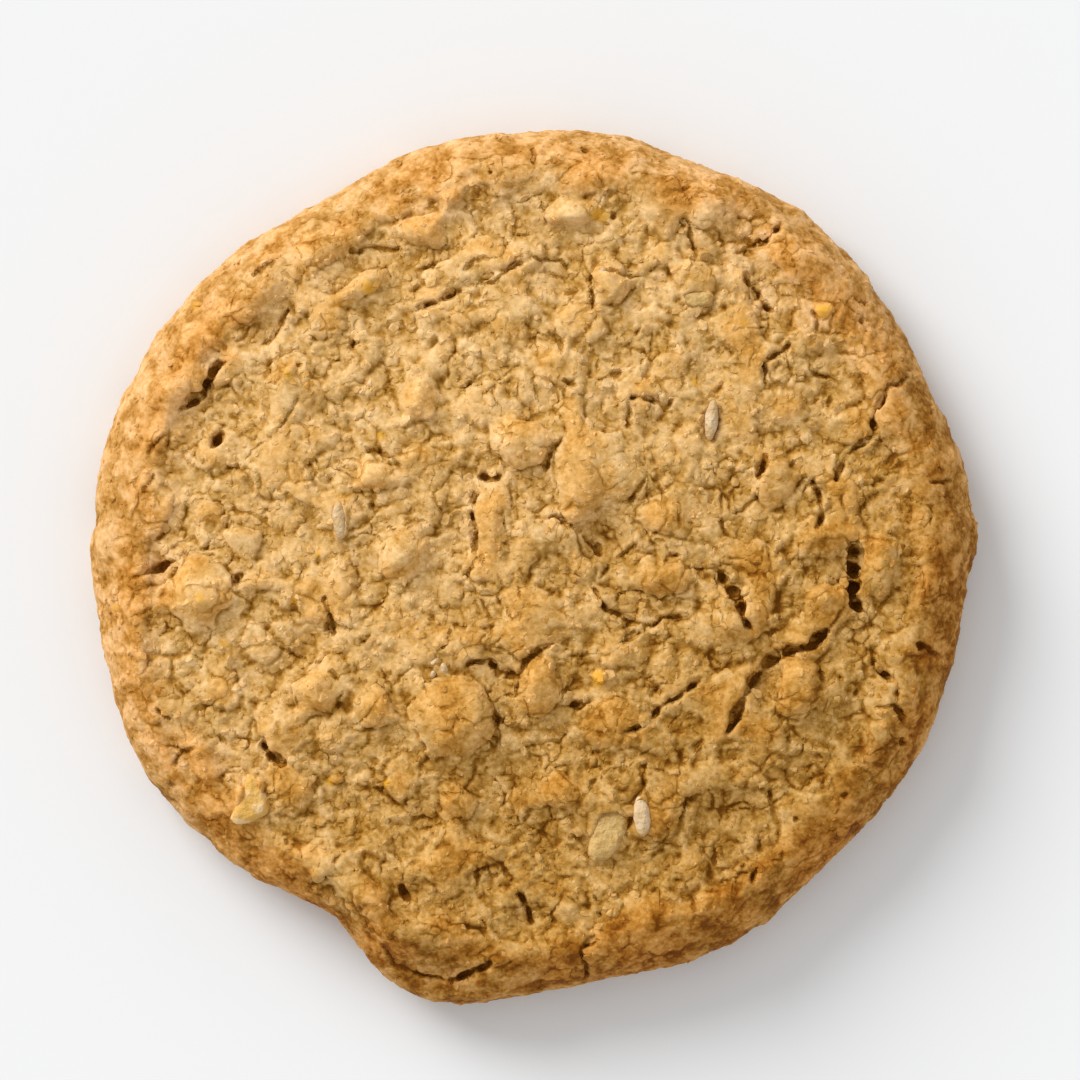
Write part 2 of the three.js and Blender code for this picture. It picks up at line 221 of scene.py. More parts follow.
CRACKS = (
    ((203, 401), (191, 407), (183, 412)), ((293, 305), (286, 319), (276, 337), (270, 345)),
    ((168, 435), (154, 447), (150, 453)), ((301, 401), (289, 419), (274, 438)),
    ((411, 313), (429, 308), (446, 299), (461, 292)), ((476, 286), (497, 282), (523, 263)),
    ((356, 256), (368, 250), (384, 251), (402, 251)), ((276, 264), (264, 270), (255, 277)),
    ((534, 149), (535, 158), (534, 166)), ((423, 270), (442, 262), (454, 259)),
    ((466, 273), (475, 262), (497, 260)), ((605, 273), (618, 274), (630, 279), (643, 276)),
    ((588, 276), (591, 288), (591, 311)), ((528, 259), (559, 262), (571, 273)),
    ((552, 334), (562, 343), (561, 355)), ((780, 225), (764, 238), (749, 249), (737, 254)),
    ((688, 222), (688, 237), (695, 257)), ((743, 280), (758, 298), (771, 313)),
    ((789, 344), (772, 359), (761, 364), (764, 385)), ((810, 313), (816, 322), (815, 335)),
    ((805, 365), (813, 374), (827, 379)),
    ((906, 376), (897, 386), (888, 386), (880, 404), (871, 416), (872, 438)),
    ((863, 444), (851, 451), (842, 456)), ((836, 462), (834, 482)),
    ((473, 510), (476, 531), (475, 552), (476, 559), (488, 566)), ((476, 559), (468, 578)),
    ((563, 436), (550, 455), (544, 476)), ((549, 516), (561, 520), (573, 528)),
    ((585, 539), (595, 545), (601, 554)), ((637, 543), (625, 552), (616, 560)), ((607, 565), (601, 577)),
    ((647, 472), (638, 490), (628, 505)), ((629, 400), (638, 398), (656, 403), (665, 409), (673, 400)),
    ((628, 404), (628, 429)), ((595, 383), (610, 378)), ((564, 383), (578, 389)),
    ((368, 449), (380, 452), (393, 458), (403, 469)), ((157, 476), (145, 493)), ((234, 521), (229, 533)),
    ((178, 560), (163, 567), (148, 573), (132, 580)), ((757, 489), (755, 498), (742, 507), (732, 511)),
    ((803, 478), (818, 490), (820, 511), (815, 527)), ((837, 456), (834, 467)),
    ((929, 482), (944, 482), (950, 481)), ((327, 594), (328, 606), (333, 622), (336, 634)),
    ((338, 626), (353, 628)), ((330, 668), (341, 677)), ((517, 675), (524, 660), (534, 655), (552, 643)),
    ((451, 625), (448, 643), (442, 649)), ((625, 614), (630, 622), (644, 623), (641, 631), (622, 643)),
    ((644, 623), (650, 625), (662, 617), (690, 616)), ((699, 680), (677, 695), (659, 704), (650, 717)),
    ((843, 606), (827, 628)), ((736, 717), (726, 732)),
    ((867, 642), (868, 658), (876, 671), (887, 674)), ((873, 707), (882, 707), (894, 703)),
    ((196, 746), (181, 753), (175, 764)), ((221, 733), (230, 742)), ((321, 769), (315, 790)),
    ((342, 848), (336, 860)), ((478, 864), (478, 882)), ((524, 746), (537, 747)),
    ((644, 762), (644, 778), (638, 793), (628, 802)), ((628, 815), (627, 836)), ((595, 775), (590, 785)),
    ((769, 787), (768, 799)), ((382, 941), (394, 965), (421, 973), (447, 980)),
    ((580, 947), (583, 956), (587, 968), (587, 984)), ((598, 938), (586, 944)),
)
HAIRLINES = (
    ((794, 651), (775, 658), (760, 671), (745, 689)),
    ((285, 267), (293, 267)), ((544, 201), (540, 213)), ((512, 237), (532, 234)), ((503, 248), (512, 242)),
    ((506, 273), (518, 261), (524, 257)), ((534, 374), (534, 389), (540, 407)), ((466, 392), (471, 383)),
    ((644, 352), (642, 374)), ((682, 377), (684, 389)), ((328, 398), (344, 407)), ((313, 337), (322, 345)),
    ((328, 484), (335, 478)), ((388, 527), (397, 533)), ((261, 469), (261, 493)), ((188, 502), (185, 524)),
    ((159, 542), (169, 533)), ((197, 548), (224, 547)), ((227, 469), (240, 469)), ((677, 496), (679, 524)),
    ((671, 554), (680, 556)), ((717, 570), (723, 582)), ((840, 496), (843, 515)), ((929, 508), (926, 524)),
    ((123, 695), (139, 691)), ((273, 640), (298, 655), (316, 660)), ((286, 668), (295, 666)),
    ((344, 689), (338, 710)), ((295, 692), (298, 707)), ((362, 643), (371, 634)), ((442, 603), (446, 612)),
    ((475, 599), (477, 609)), ((506, 606), (511, 619)), ((518, 588), (521, 600)), ((515, 677), (515, 695)),
    ((500, 707), (500, 729)), ((625, 729), (641, 726)), ((705, 655), (720, 663)), ((818, 665), (821, 683)),
    ((867, 612), (873, 628)), ((836, 674), (842, 677)), ((442, 792), (466, 790)), ((494, 790), (501, 796)),
    ((592, 747), (592, 756)), ((555, 764), (573, 762)), ((687, 796), (682, 815)), ((812, 762), (803, 775)),
    ((760, 836), (757, 851)), ((896, 683), (896, 703)), ((601, 250), (604, 256)), ((692, 248), (694, 257)),
)
# Small round pits
PITS = (
    (491, 175), (467, 208), (614, 218), (688, 189), (682, 222), (584, 150), (302, 366), (356, 343), (374, 508),
    (231, 527), (240, 576), (763, 466), (792, 464), (172, 783), (595, 895), (598, 910), (587, 851), (742, 865),
    (794, 816), (843, 793), (390, 821), (325, 876), (863, 304), (862, 322), (354, 253), (483, 560), (598, 545),
    (675, 555), (922, 646), (317, 773), (287, 841), (345, 848), (853, 690), (902, 742), (478, 877), (336, 631),
)
# Golden stains and specks where nut lies just under the crust
STAINS = ((821, 313), (598, 677), (598, 217), (369, 290))
SPECKS = (
    (292, 378), (196, 306), (382, 436), (693, 384), (743, 325), (116, 607), (203, 596), (295, 601), (225, 642),
    (321, 552), (332, 781), (388, 781),
)
# Their radii, and the share of a radius that is stained fully
STAIN_RADIUS, SPECK_RADIUS = 0.75, 0.36
STAIN_CORE = 0.4

# Bits that lie on the top. Grains: the pixel of the middle, then length, width, height and turn in degrees
PALE_GRAINS = (
    ((341, 520), 2.8, 0.95, 0.9, 93), ((710, 421), 3.0, 1.0, 0.9, 84), ((641, 814), 3.0, 1.25, 1.0, 95),
    ((436, 660), 0.7, 0.45, 0.4, 30), ((445, 667), 0.8, 0.5, 0.4, 110), ((434, 673), 0.6, 0.45, 0.4, 70),
    ((602, 274), 0.8, 0.55, 0.5, 60),
)
TAN_GRAINS = (((320, 874), 1.0, 0.95, 0.9, 0),)
# Flakes and nut: the pixels round their outlines
OAT_FLAKE = (
    (596, 812), (605, 805), (619, 804), (627, 810), (626, 828), (618, 846), (608, 857), (593, 859), (587, 851),
    (590, 833),
)
SMALL_FLAKE = ((681, 297), (690, 293), (705, 293), (712, 299), (711, 308), (690, 310), (684, 306))
NUT_PIECE = (
    (249, 772), (259, 773), (266, 787), (272, 803), (269, 813), (254, 820), (238, 823), (232, 816), (241, 797),
)
# The thickness of each of those, and how far its top stands above the dough
OAT_SIZES = (1.2, 0.3)
SMALL_SIZES = (1.1, 0.3)
NUT_SIZES = (1.8, 0.75)
# How they are made: the upright share of the side, the share of the outline that is left on top, the side of a
# voxel, and rounds of smoothing
CHIP_SIDE, CHIP_TOP = 0.75, 0.72
CHIP_VOXEL = 0.11
CHIP_ROUNDS = 12
# How grains are made: rounds of subdivision, points round the outline, and how much of its height one is lifted
GRAIN_SUBDIVISIONS = 4
OUTLINE_POINTS = 12
GRAIN_LIFT = 0.25
# A grain that is longer than this sits in a hollow, as flakes and nut do: its depth, its share of the bit's
# outline, and the width of its side
SEATED_LENGTH = 1.5
SEAT_DEPTH, SEAT_SHARE, SEAT_EDGE = 0.8, 0.7, 0.22
# The dough's height at a bit is read round an outline that is this much larger, from well above the biscuit
ROUND_SHARE = 1.4
WELL_ABOVE = 30.0

# Crumbs baked onto the crust, fine ones among them and loose ones on it. Each kind: how many for each square
# millimetre, smallest and largest radius, height as a share of the radius, and how deep the middle is sunk
CRUST_CRUMBS = (1.5, 0.2, 0.5, 0.5, 0.155)
FINE_CRUMBS = (1.8, 0.12, 0.26, 0.7, 0.085)
LOOSE_CRUMBS = (0.12, 0.14, 0.3, 0.7, 0.04)
CRUST_SEED, FINE_SEED, LOOSE_SEED = 4, 12, 8
CRUMB_SUBDIVISIONS = 1
# The least and the greatest share of a crumb's radius and of its height, its tilt, and a turn, in radians
CRUMB_SIDES = (0.6, 1.3)
CRUMB_HEIGHTS = (0.8, 1.2)
CRUMB_TILT = 0.4
CRUMB_TURN = 6.3
# The random draws for each crumb, in their order
SIDES_DRAW, RADIUS_DRAW, TURN_DRAW, TONE_DRAW = 1, 2, 3, 4
# How far crumbs keep off wide cracks, off fine ones as a share of their depth, and off bits, from none to full
OFF_CRACKS = (0.0, -0.2)
OFF_SEAMS = (0.6, 0.2)
OFF_BITS = (0.3, 0.39)

# The floor lies this little below the base, so that the two faces don't coincide. Its side is in metres
FLOOR_GAP = 0.01
FLOOR_SIDE = 4.0
FLOOR_PALE = (0.805, 0.81, 0.815, 1)
FLOOR_ROUGHNESS, FLOOR_GLOSS = 1.0, 0.0

# The studio light: an even white sky and one soft window up and to the left
SKY_WHITE = (1, 1, 1, 1)
SKY_STRENGTH = 0.70
WINDOW_WAY = (-1.0, 1.1, 0.82)
WINDOW_STRENGTH = 2.85
WINDOW_ANGLE = 0.6

# The dough's colours, linear, from its palest tips to the bottoms of its cracks, each at its level of baking
# and painted shade. The pale end gives painted highlight on tips, the dark end painted shade in cracks
BAKE_AND_SHADE_COLOURS = (
    (0.0, (0.87, 0.595, 0.295, 1)),
    (0.25, (0.70, 0.44, 0.18, 1)),
    (0.45, (0.565, 0.325, 0.097, 1)),
    (0.65, (0.415, 0.208, 0.036, 1)),
    (0.85, (0.27, 0.110, 0.008, 1)),
    (1.0, (0.18, 0.06, 0.002, 1)),
)
# Tints of the plates and of the rim, and the colours of stains and bits
PLATE_TINT = (1.08, 0.95, 0.72, 1)
RIM_TINT = (1.0, 0.925, 0.95, 1)
STAIN_GOLD = (0.80, 0.40, 0.03, 1)
GRAIN_CREAM, GRAIN_TAN = (0.67, 0.49, 0.29, 1), (0.56, 0.37, 0.17, 1)
FLAKE_PALE, FLAKE_TAN = (0.60, 0.385, 0.135, 1), (0.47, 0.275, 0.075, 1)
NUT_CREAM, NUT_GOLD = (0.78, 0.53, 0.26, 1), (0.68, 0.38, 0.08, 1)
# The size of the patches on grains, flakes and nut, and the levels of noise between which a patch turns pale
GRAIN_PATCH, FLAKE_PATCH, NUT_PATCH = 1.3, 0.8, 1.6
PATCH_TURNS = (0.4, 0.6)
# How fully a stain covers the dough, and the levels of mottling between which a plate turns golden
STAIN_SHARE = 0.8
PLATE_GOLDEN = (0.35, 0.6)

# Noise in the baking, as size and detail, and roughness for the finer two: broad mottling, patches and speckle
MOTTLE = (5.0, 3.0)
PATCHES = (1.7, 3.0, 0.6)
SPECKLE = (0.34, 2.0, 0.6)

# The level of baking and painted shade is a sum. It starts from the plain dough's level, and each thing below
# adds to it: real browning, mottling and tone, and painted light and shade
PLAIN_LEVEL = 0.37
# Painted light on the side toward the window and painted shade on the side away from it, along a line in this
# direction. The mottling shifts it
SIDE_LIGHT_WAY = (-0.57, 0.82, 0.0)
SIDE_LIGHT_START, SIDE_SHADE_END = 10.0, -20.0
SIDE_LIGHT_SHADE_LEVELS = (-0.05, 0.16)
SIDE_SHADE_MOTTLE = 8.0
# The rim is browned between these distances from the middle, unevenly. On the side of the window it is paler:
# painted light
BROWN_START, BROWN_END = RADIUS - 7.8, RADIUS - 1.8
BROWN_MOTTLE = 9.0
RIM_LEVEL, RIM_MOTTLE = 0.17, 0.5
LIT_START, LIT_END = 25.0, -25.0
RIM_PAINTED_LIGHT = -0.07
# Plates, patches and speckle, each from one end of its noise to the other, and the rim's patches
PLATE_LEVELS = (-0.04, 0.12)
PATCH_LEVELS = (-0.12, 0.13)
SPECKLE_LEVELS = (0.1, -0.11)
RIM_PATCH_NOISE = (0.35, 0.65)
RIM_PATCH_LEVELS = (-0.1, 0.1)
# Painted shade in crevices, dips and hollows between plates, and painted highlight on tips of the crumb: from
# where to where, and levels
CREVICE_RANGE, CREVICE_SHADE_TIP_HIGHLIGHT = (-0.12, 0.12), (0.12, -0.07)
DIP_RANGE, DIP_SHADE = (-0.06, -0.42), 0.2
HOLLOW_RANGE, HOLLOW_SHADE = (-0.04, -0.3), 0.07
# Painted shade in gaps between grains, in the fine and wide cracks with the speckle that frays them, and in the
# groove round plates
GRAIN_GAP, GRAIN_GAP_SHADE = (0.05, 0.5), 0.09
SEAM_RANGE, SEAM_SPECKLE, SEAM_SHADE = (0.35, 0.85), 1.2, 0.17
CRACK_RANGE, CRACK_SPECKLE, CRACK_SHADE = (-0.05, 0.12), 0.7, 0.2
MOAT_SHADE = 0.12
# Crumbs differ from each other by this much
TONE_LEVEL = 0.06

# How matt the crumb and the bits are
CRUMB_ROUGHNESS, CRUMB_GLOSS = 0.72, 0.1
BIT_ROUGHNESS, BIT_GLOSS = 0.6, 0.3
# Heights in the materials' bump: grains as a share of theirs, fine cracks, wide cracks, speckle, and the size
# and height of a bit's grain
GRAIN_BUMP = 0.5
SEAM_BUMP, CRACK_BUMP, SPECKLE_BUMP = -0.06, -0.1, 0.04
BIT_GRAIN = (0.4, 0.22)

# A Mix node's sockets for colours, by number, because its other sockets have the same names
MIX_FROM, MIX_TO, MIX_RESULT = 6, 7, 2


def deselect_all():
    for piece in bpy.data.objects:
        piece.select_set(False)
    bpy.context.view_layer.objects.active = None


def take_up(piece):
    """Selects one piece alone, as the one that operators act on."""
    deselect_all()
    piece.select_set(True)
    bpy.context.view_layer.objects.active = piece


def show(name, data):
    """Puts a new object with this mesh, lamp or lens into the scene."""
    made = bpy.data.objects.new(name, data)
    bpy.context.scene.collection.objects.link(made)
    return made


def rescale(piece, factor):
    take_up(piece)
    piece.scale = (factor, factor, factor)
    bpy.ops.object.transform_apply(location=True, rotation=True, scale=True)


def finish_modifier(piece, modifier):
    take_up(piece)
    bpy.ops.object.modifier_apply(modifier=modifier.name)


def even_skin(piece, voxel):
    remesh = piece.modifiers.new("even skin", "REMESH")
    remesh.mode = "VOXEL"
    remesh.voxel_size = voxel
    finish_modifier(piece, remesh)


def soften(piece, rounds):
    smooth = piece.modifiers.new("soften", "SMOOTH")
    smooth.factor = SMOOTH_SHARE
    smooth.iterations = rounds
    finish_modifier(piece, smooth)


def cover(piece, material):
    piece.data.materials.clear()
    piece.data.materials.append(material)


def from_photo(pixel, height=0.0):
    """The place on the biscuit, in millimetres, under a pixel of the photograph."""
    x = (pixel[0] - PHOTO_MIDDLE[0]) * PHOTO_MM
    y = (PHOTO_MIDDLE[1] - pixel[1]) * PHOTO_MM
    return Vector((x, y, height))


# Small helpers for node trees

def put(tree, kind, inputs=(), **settings):
    """Adds a node, sets its settings, and links or sets its inputs, named or numbered."""
    made = tree.nodes.new(kind)
    for name, value in settings.items():
        setattr(made, name, value)
    for name, value in dict(inputs).items():
        socket = made.inputs[name]
        if isinstance(value, bpy.types.NodeSocket):
            tree.links.new(value, socket)
        else:
            socket.default_value = value
    return made


def number(tree, operation, a, b=0.0):
    return put(tree, "ShaderNodeMath", {0: a, 1: b}, operation=operation).outputs[0]


def vector(tree, operation, a, b=(0.0, 0.0, 0.0)):
    return put(tree, "ShaderNodeVectorMath", {0: a, 1: b}, operation=operation).outputs["Vector"]


def along(tree, a, b):
    """How far one direction reaches along another."""
    return put(tree, "ShaderNodeVectorMath", {0: a, 1: b}, operation="DOT_PRODUCT").outputs["Value"]


def stretched(tree, a, factor):
    made = put(tree, "ShaderNodeVectorMath", {0: a, "Scale": factor}, operation="SCALE")
    return made.outputs["Vector"]


def together(tree, operation, terms):
    result = terms[0]
    for term in terms[1:]:
        result = number(tree, operation, result, term)
    return result


def total(tree, *terms):
    return together(tree, "ADD", terms)


def product(tree, *terms):
    return together(tree, "MULTIPLY", terms)


def highest(tree, *terms):
    return together(tree, "MAXIMUM", terms)


def ramp(tree, value, start, end, low=0.0, high=1.0):
    """Goes smoothly from low to high as the value goes from start to end."""
    made = put(
        tree, "ShaderNodeMapRange",
        {"Value": value, "From Min": start, "From Max": end, "To Min": low, "To Max": high},
        interpolation_type="SMOOTHSTEP",
    )
    return made.outputs["Result"]


def eased(tree, share, left):
    """Goes smoothly from 1 to what is left as the share goes from 0 to 1."""
    return ramp(tree, share, 0.0, 1.0, 1.0, left)


def clouds(tree, place, size, detail=2.0, roughness=0.5):
    return put(
        tree, "ShaderNodeTexNoise",
        {"Vector": place, "Scale": 1.0 / size, "Detail": detail, "Roughness": roughness},
    )


def haze(tree, place, size, detail=2.0, roughness=0.5):
    return clouds(tree, place, size, detail, roughness).outputs["Fac"]


def jittered(tree, value, noise, reach):
    """A value that noise shifts up and down."""
    return total(tree, value, product(tree, noise, reach), -reach * NOISE_MIDDLE)


def shift(tree, place, size, reach, detail):
    colour = clouds(tree, place, size, detail, WANDER_ROUGHNESS).outputs["Color"]
    centred = vector(tree, "SUBTRACT", colour, (NOISE_MIDDLE, NOISE_MIDDLE, NOISE_MIDDLE))
    return stretched(tree, centred, reach / NOISE_MIDDLE)


def wander(tree, place, size, reach, detail):
    """Shifts a place about by up to the reach, in waves of the size."""
    return vector(tree, "ADD", place, shift(tree, place, size, reach, detail))


def torn(tree, place):
    """The place as the net of fine cracks sees it, so that they run ragged."""
    return wander(tree, wander(tree, place, *BROAD_WANDER), *RAGGED_WANDER)


def domes(tree, place, size):
    """Rounded bumps packed together: 1 on top of a bump, near 0 in the gaps."""
    made = put(tree, "ShaderNodeTexVoronoi", {"Vector": place, "Scale": 1.0 / size}, feature="F1")
    squared = number(tree, "POWER", made.outputs["Distance"], 2.0)
    return number(tree, "SUBTRACT", 1.0, number(tree, "MULTIPLY", squared, GRAIN_FALL))


def grains_at(tree, place):
    """Fused grains of two sizes: 1 on top of a grain, near 0 in the gaps."""
    frayed = wander(tree, place, *GRAIN_FRAY)
    coarse = number(tree, "SUBTRACT", domes(tree, frayed, COARSE_GRAIN), COARSE_DROP)
    return highest(tree, domes(tree, frayed, FINE_GRAIN), coarse)


def billows(tree, place, size):
    """Lumps of uneven shape, with round tops and narrow creases: from 0 in a crease to about 0.25."""
    centred = number(tree, "SUBTRACT", haze(tree, place, size, BILLOW_DETAIL), NOISE_MIDDLE)
    spread = number(tree, "POWER", number(tree, "ABSOLUTE", centred), BILLOW_POWER)
    return product(tree, spread, BILLOW_SHARE)


def from_edge(tree, place, size):
    """How far a place lies from the nearest line between cells of the size."""
    made = put(
        tree, "ShaderNodeTexVoronoi",
        {"Vector": place, "Scale": 1.0 / size},
        feature="DISTANCE_TO_EDGE",
    )
    return number(tree, "MULTIPLY", made.outputs["Distance"], size)


def height_of(tree, place):
    return put(tree, "ShaderNodeSeparateXYZ", {0: place}).outputs["Z"]


def flat(tree, place):
    return vector(tree, "MULTIPLY", place, (1.0, 1.0, 0.0))


def from_axis(tree, place):
    return put(tree, "ShaderNodeVectorMath", {0: flat(tree, place)}, operation="LENGTH").outputs["Value"]


def new_geometry_tree(name):
    tree = bpy.data.node_groups.new(name, "GeometryNodeTree")
    tree.interface.new_socket("Geometry", in_out="INPUT", socket_type="NodeSocketGeometry")
    tree.interface.new_socket("Geometry", in_out="OUTPUT", socket_type="NodeSocketGeometry")
    start = tree.nodes.new("NodeGroupInput")
    end = tree.nodes.new("NodeGroupOutput")
    return tree, start.outputs[0], end.inputs[0]


def apply_tree(piece, tree):
    modifier = piece.modifiers.new(tree.name, "NODES")
    modifier.node_group = tree
    finish_modifier(piece, modifier)


def here(tree):
    return put(tree, "GeometryNodeInputPosition").outputs[0]


def facing(tree):
    return put(tree, "GeometryNodeInputNormal").outputs[0]


def evened(tree, value, rounds):
    """A direction or place averaged with its neighbours for a number of rounds."""
    made = put(
        tree, "GeometryNodeBlurAttribute",
        {"Value": value, "Iterations": rounds},
        data_type="FLOAT_VECTOR",
    )
    return made.outputs[0]


def standing(tree, rounds):
    """How far a point stands above the surface round it, averaged over a number of rounds."""
    above = vector(tree, "SUBTRACT", here(tree), evened(tree, here(tree), rounds))
    return along(tree, above, facing(tree))


def broad_normal(tree, rounds):
    """The surface's direction without its small cracks, so that relief doesn't close them."""
    return vector(tree, "NORMALIZE", evened(tree, facing(tree), rounds))


def distance_to(tree, guide, place, element):
    """How far a place lies, seen from above, from a guide's points, edges or faces."""
    drawn = put(tree, "GeometryNodeObjectInfo", {"Object": guide}).outputs["Geometry"]
    near = put(
        tree, "GeometryNodeProximity",
        {0: drawn, "Sample Position": flat(tree, place)},
        target_element=element,
    )
    return near.outputs["Distance"]


def move(tree, geometry, offset):
    return put(tree, "GeometryNodeSetPosition", {"Geometry": geometry, "Offset": offset}).outputs[0]


def keep(tree, geometry, name, value, kind="FLOAT", domain="POINT"):
    made = put(
        tree, "GeometryNodeStoreNamedAttribute",
        {"Geometry": geometry, "Name": name, "Value": value},
        data_type=kind, domain=domain,
    )
    return made.outputs["Geometry"]


def stored(tree, name):
    return put(tree, "GeometryNodeInputNamedAttribute", {"Name": name}, data_type="FLOAT").outputs[0]


# Guides on the ground, which are removed once the dough is shaped

def draw(name, points, lines, faces):
    mesh = bpy.data.meshes.new(name)
    mesh.from_pydata(points, lines, faces)
    return show(name, mesh)


def draw_lines(name, runs, width):
    """Lines that cracks follow. A line dips to its ends, so that they lie farther from the ground and the crack
    tapers there."""
    points, lines = [], []
    for run in runs:
        places = [from_photo(pixel) for pixel in run]
        first = places[0].lerp(places[1], TAPER_STRETCH)
        last = places[-1].lerp(places[-2], TAPER_STRETCH)
        places = [places[0], first, *places[1:-1], last, places[-1]]
        places[0].z = places[-1].z = -TAPER * width
        start = len(points)
        points.extend(places)
        lines.extend((step, step + 1) for step in range(start, len(points) - 1))
    return draw(name, points, lines, [])


def draw_points(name, pixels):
    return draw(name, [from_photo(pixel) for pixel in pixels], [], [])


def grain_outline(pixel, length, width, turn):
    """Points round a grain that lies on its side, in millimetres."""
    middle = from_photo(pixel)
    lengthwise = Vector((cos(radians(turn)), sin(radians(turn)), 0.0)) * 0.5 * length
    across = Vector((-sin(radians(turn)), cos(radians(turn)), 0.0)) * 0.5 * width
    angles = [radians(360 / OUTLINE_POINTS * step) for step in range(OUTLINE_POINTS)]
    return [middle + cos(angle) * lengthwise + sin(angle) * across for angle in angles]


def chip_outline(pixels):
    return [from_photo(pixel) for pixel in pixels]


def resized(outline, factor):
    middle = sum(outline, Vector()) / len(outline)
    return [middle + factor * (corner - middle) for corner in outline]


def draw_seats():
    """Flat faces under the middles of the bits."""
    outlines = [chip_outline(pixels) for pixels in (OAT_FLAKE, SMALL_FLAKE, NUT_PIECE)]
    for pixel, length, width, _, turn in PALE_GRAINS:
        if length > SEATED_LENGTH:
            outlines.append(grain_outline(pixel, length, width, turn))
    points, faces = [], []
    for outline in outlines:
        faces.append(range(len(points), len(points) + len(outline)))
        points.extend(resized(outline, SEAT_SHARE))
    return draw("seats", points, [], faces)


# The dough

def fill_tree():
    """Fills the narrow bottoms of the solid's cracks, which are cut again more finely."""
    tree, geometry, out = new_geometry_tree("fill")
    depth = product(tree, standing(tree, BOTTOM_ROUNDS), -1.0)
    too_deep = highest(tree, number(tree, "SUBTRACT", depth, CRACK_FLOOR), 0.0)
    fill = product(tree, too_deep, ramp(tree, height_of(tree, here(tree)), FILL_START, FILL_END))
    tree.links.new(move(tree, geometry, stretched(tree, broad_normal(tree, FILL_WAY_ROUNDS), fill)), out)
    return tree


def plates_tree():
    """Notes which parts of the solid stand up as plates and lumps, before the crumb is added."""
    tree, geometry, out = new_geometry_tree("plates")
    geometry = keep(tree, geometry, "plate", standing(tree, PLATE_ROUNDS))
    geometry = keep(tree, geometry, "rest", here(tree), "FLOAT_VECTOR")
    tree.links.new(geometry, out)
    return tree


def crack_field(tree, guide, width, element):
    """How far a place lies inside a crack along the guide: above 0 between its ragged sides."""
    frayed = wander(tree, wander(tree, here(tree), *CRACK_BEND), *CRACK_FRAY)
    narrow, wide = [share * width for share in CRACK_HALVES]
    half = ramp(tree, haze(tree, here(tree), CRACK_STRETCH), *CRACK_WIDENS, narrow, wide)
    return number(tree, "SUBTRACT", half, distance_to(tree, guide, frayed, element))


def seam_field(tree, place, kind):
    """A net of ragged cracks that come and go: 1 at the bottom of a crack, 0 beside it."""
    size, half_width, _, stretch = kind
    edge = from_edge(tree, torn(tree, place), size)
    fade = ramp(tree, haze(tree, place, stretch), *SEAM_OPENS)
    return product(tree, ramp(tree, edge, half_width, 0.0), fade)


def stain_share(tree, guide, radius):
    """How much a place is stained: 1 near a point of the guide, 0 beyond the radius, with a ragged edge."""
    frayed = wander(tree, here(tree), *STAIN_FRAY)
    return ramp(tree, distance_to(tree, guide, frayed, "POINTS"), radius, STAIN_CORE * radius)


def flaked(tree, place, kind, levels):
    """Flakes of crust lying on one another: a height that goes up in ragged steps, 0 on average."""
    size, step = kind
    noise = haze(tree, place, size, STEP_DETAIL, STEP_ROUGHNESS)
    steps = [ramp(tree, noise, level, level + STEP_WIDTH, 0.0, step) for level in levels]
    return total(tree, *steps, -0.5 * step * len(levels))


def crust_rise(tree, place, calm, rim):
    """The height of the broken crust, its billows and grains, and the waves of the rim."""
    flakes = product(tree, flaked(tree, place, FLAKES, FLAKE_LEVELS), calm)
    chips = product(tree, flaked(tree, place, CHIPS, CHIP_LEVELS), calm)
    broken = product(tree, total(tree, flakes, chips), eased(tree, rim, RIM_BROKEN))
    rough = ramp(tree, calm, 0.0, 1.0, LEAST_ROUGH, 1.0)
    swells = product(tree, billows(tree, place, BROAD_BILLOWS[0]), BROAD_BILLOWS[1], rough)
    lumps = product(tree, billows(tree, place, BILLOWS[0]), BILLOWS[1], rough)
    grains = product(tree, grains_at(tree, place), GRAIN_HEIGHT, rough)
    size, height = RIM_WAVES
    waves = product(tree, number(tree, "SUBTRACT", haze(tree, place, size), NOISE_MIDDLE), height, rim)
    return total(tree, broken, swells, lumps, grains, waves)


def groove(tree, place, plate, inner):
    """The groove round the plates: 1 at its bottom, 0 beside it and where it is closed."""
    from_groove = number(tree, "ABSOLUTE", number(tree, "SUBTRACT", plate, MOAT_AT))
    opened = ramp(tree, haze(tree, place, MOAT_STRETCH), *MOAT_OPENS)
    return product(tree, ramp(tree, from_groove, MOAT_WIDTH, 0.0), opened, inner)


